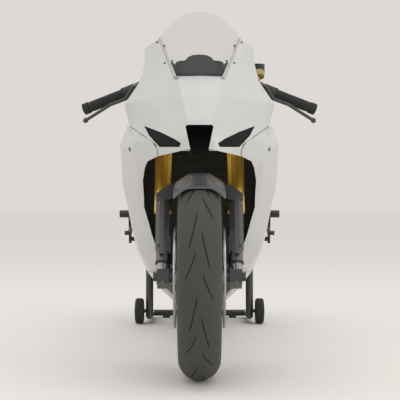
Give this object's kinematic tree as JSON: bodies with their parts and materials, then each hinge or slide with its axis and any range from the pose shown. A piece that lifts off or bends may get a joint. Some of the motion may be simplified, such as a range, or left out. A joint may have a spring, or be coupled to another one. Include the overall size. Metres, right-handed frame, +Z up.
{
  "type": "sport bike",
  "caption": "Race-trim sport bike with steering, turning wheels and a rear paddock stand under its swingarm.",
  "frame": {"origin": "centre of the bounding box at floor level, midway between the front tyre's front and the stand's rear", "axes": "+Z up, +Y to the rear of the bike, which faces -Y, +X to the rider's left"},
  "size_m": [0.7636, 2.18, 1.147],
  "materials": {
    "frame_alloy": "satin",
    "dark_steel": "satin",
    "gold_anodised": "satin",
    "bright_tube": "polished",
    "caliper_black": "satin",
    "disc_steel": "ground",
    "rim_black": "satin",
    "tyre_rubber": "matt",
    "grip_rubber": "matt",
    "switch_plastic": "fine grain",
    "reservoir_plastic": "translucent",
    "white_panel": "gloss",
    "clear_screen": "clear",
    "seat_foam": "closed foam",
    "engine_cast": "cast",
    "exhaust_steel": "heat tinted",
    "chain_steel": "oiled",
    "shock_paint": "satin"
  },
  "bodies": {
    "chassis": {"main_frame": "frame_alloy", "pivot_shaft": "dark_steel", "swingarm": "frame_alloy", "rear_shock": "shock_paint", "subframe": "dark_steel", "engine_block": "engine_cast", "radiator": "engine_cast", "exhaust_headers": "exhaust_steel", "silencer": "exhaust_steel", "drive_chain": "chain_steel", "front_sprocket": "chain_steel", "fuel_tank": "white_panel", "seat_pad": "seat_foam", "tail_cowl": "white_panel", "rearsets": "caliper_black", "rear_axle": "dark_steel", "rear_caliper": "caliper_black", "nose_fairing": "white_panel", "nose_liner": "switch_plastic", "side_fairing_left": "white_panel", "side_fairing_right": "white_panel", "belly_pan": "white_panel", "windscreen": "clear_screen", "instrument_panel": "switch_plastic", "paddock_stand": "dark_steel"},
    "steering": {"fork_tubes": "gold_anodised", "fork_legs": "bright_tube", "axle_clamps": "dark_steel", "front_axle": "dark_steel", "lower_triple_clamp": "frame_alloy", "top_triple_clamp": "frame_alloy", "handlebars": "dark_steel", "grips": "grip_rubber", "switchgear": "switch_plastic", "brake_lever": "caliper_black", "clutch_lever": "caliper_black", "fluid_reservoir": "reservoir_plastic", "front_fender": "switch_plastic", "brake_calipers": "caliper_black"},
    "front_wheel": {"front_tyre": "tyre_rubber", "front_rim": "rim_black", "front_discs": "disc_steel"},
    "rear_wheel": {"rear_tyre": "tyre_rubber", "rear_rim": "rim_black", "rear_disc": "disc_steel", "rear_sprocket": "chain_steel"},
    "left_stand_wheel": {"stand_wheel_left": "grip_rubber"},
    "right_stand_wheel": {"stand_wheel_right": "grip_rubber"}
  },
  "joints": [
    {"name": "steer", "type": "hinge", "parent": "chassis", "child": "steering", "pos_m": [0, -0.51581, 0.83471], "axis": [0, 0.4067, 0.9135], "range_deg": [-25, 25]},
    {"name": "front_spin", "type": "hinge", "parent": "steering", "child": "front_wheel", "pos_m": [0, -0.79, 0.3], "axis": [1, 0, 0], "continuous": true},
    {"name": "rear_spin", "type": "hinge", "parent": "chassis", "child": "rear_wheel", "pos_m": [0, 0.66, 0.365], "axis": [1, 0, 0], "continuous": true},
    {"name": "left_stand_spin", "type": "hinge", "parent": "chassis", "child": "left_stand_wheel", "pos_m": [0.259, 0.595, 0.0545], "axis": [1, 0, 0], "continuous": true},
    {"name": "right_stand_spin", "type": "hinge", "parent": "chassis", "child": "right_stand_wheel", "pos_m": [-0.259, 0.595, 0.0545], "axis": [1, 0, 0], "continuous": true}
  ]
}
